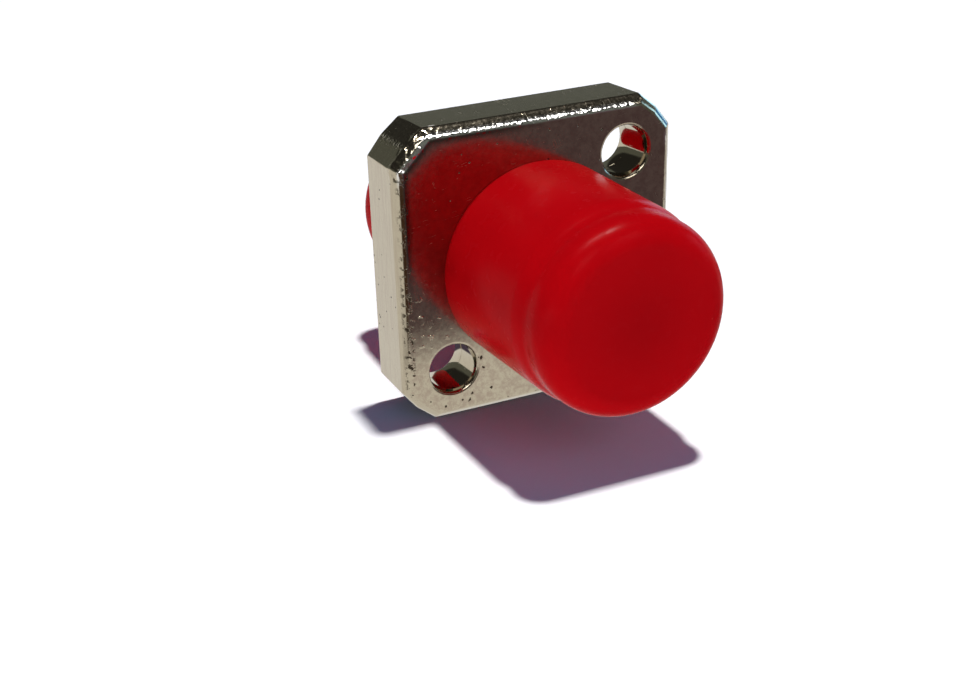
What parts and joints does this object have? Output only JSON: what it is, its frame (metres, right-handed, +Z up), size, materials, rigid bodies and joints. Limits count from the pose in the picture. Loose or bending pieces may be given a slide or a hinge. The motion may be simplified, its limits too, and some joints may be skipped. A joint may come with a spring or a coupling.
{
  "type": "simplex fibre adapter",
  "caption": "Square-flange simplex fibre adapter: keyed threaded barrels front and back, a floating split alignment sleeve inside, and soft red dust caps that pull off.",
  "frame": {"origin": "on the optical axis, half way through the flange", "axes": "+Y along the optical axis from front to back, +Z up towards the key slots, +X to the right seen from the front"},
  "size_m": [0.014, 0.0208, 0.014],
  "materials": {
    "nickel_plate": "bright nickel plate over a casting, pitted and lightly scratched",
    "holder_metal": "turned brass, thin nickel plate",
    "zirconia": "ground white ceramic",
    "red_soft_plastic": "soft moulded plastic with a low sheen"
  },
  "bodies": {
    "adapter": {"flange_body": "nickel_plate", "front_sleeve_holder": "holder_metal", "rear_sleeve_holder": "holder_metal", "alignment_sleeve": "zirconia"},
    "front_cap": {"front_dust_cap": "red_soft_plastic"},
    "rear_cap": {"rear_dust_cap": "red_soft_plastic"}
  },
  "joints": [
    {"name": "front_cap_pull", "type": "slide", "parent": "adapter", "child": "front_cap", "axis": [0, -1, 0], "range_m": [0, 0.016]},
    {"name": "rear_cap_pull", "type": "slide", "parent": "adapter", "child": "rear_cap", "axis": [0, 1, 0], "range_m": [0, 0.016]}
  ]
}
